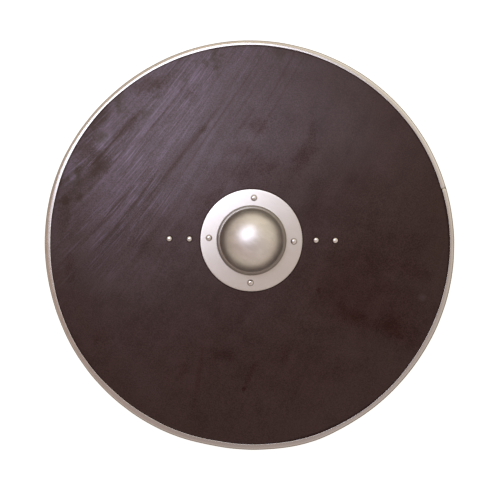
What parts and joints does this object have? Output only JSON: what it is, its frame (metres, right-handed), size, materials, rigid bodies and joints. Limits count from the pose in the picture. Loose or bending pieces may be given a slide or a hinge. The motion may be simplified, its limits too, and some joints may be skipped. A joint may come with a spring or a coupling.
{
  "type": "wooden round shield",
  "caption": "Round wooden shield with a steel rim, a hollow domed steel boss over a fist hole, and a wooden grip riveted across the back.",
  "frame": {"origin": "under the middle of the board, on the surface that the grip's flat underside lies on", "axes": "+Z out of the shield's front, through the boss; +X along the grip, to the right as the front is seen; +Y up as the front is seen"},
  "size_m": [0.7619, 0.7617, 0.0952],
  "materials": {
    "board_wood": "dark red-brown stain under a thin satin varnish",
    "grip_wood": "plain stained wood, rubbed smooth",
    "rim_steel": "brushed steel",
    "boss_steel": "satin steel with faint smudges",
    "rivet_steel": "hammered and polished steel"
  },
  "bodies": {
    "root": {"board": "board_wood", "rim": "rim_steel", "boss": "boss_steel", "boss_rivet_top": "rivet_steel", "boss_rivet_left": "rivet_steel", "boss_rivet_bottom": "rivet_steel", "boss_rivet_right": "rivet_steel", "grip": "grip_wood", "grip_rivet_left_outer": "rivet_steel", "grip_rivet_left_inner": "rivet_steel", "grip_rivet_right_inner": "rivet_steel", "grip_rivet_right_outer": "rivet_steel"}
  },
  "joints": []
}
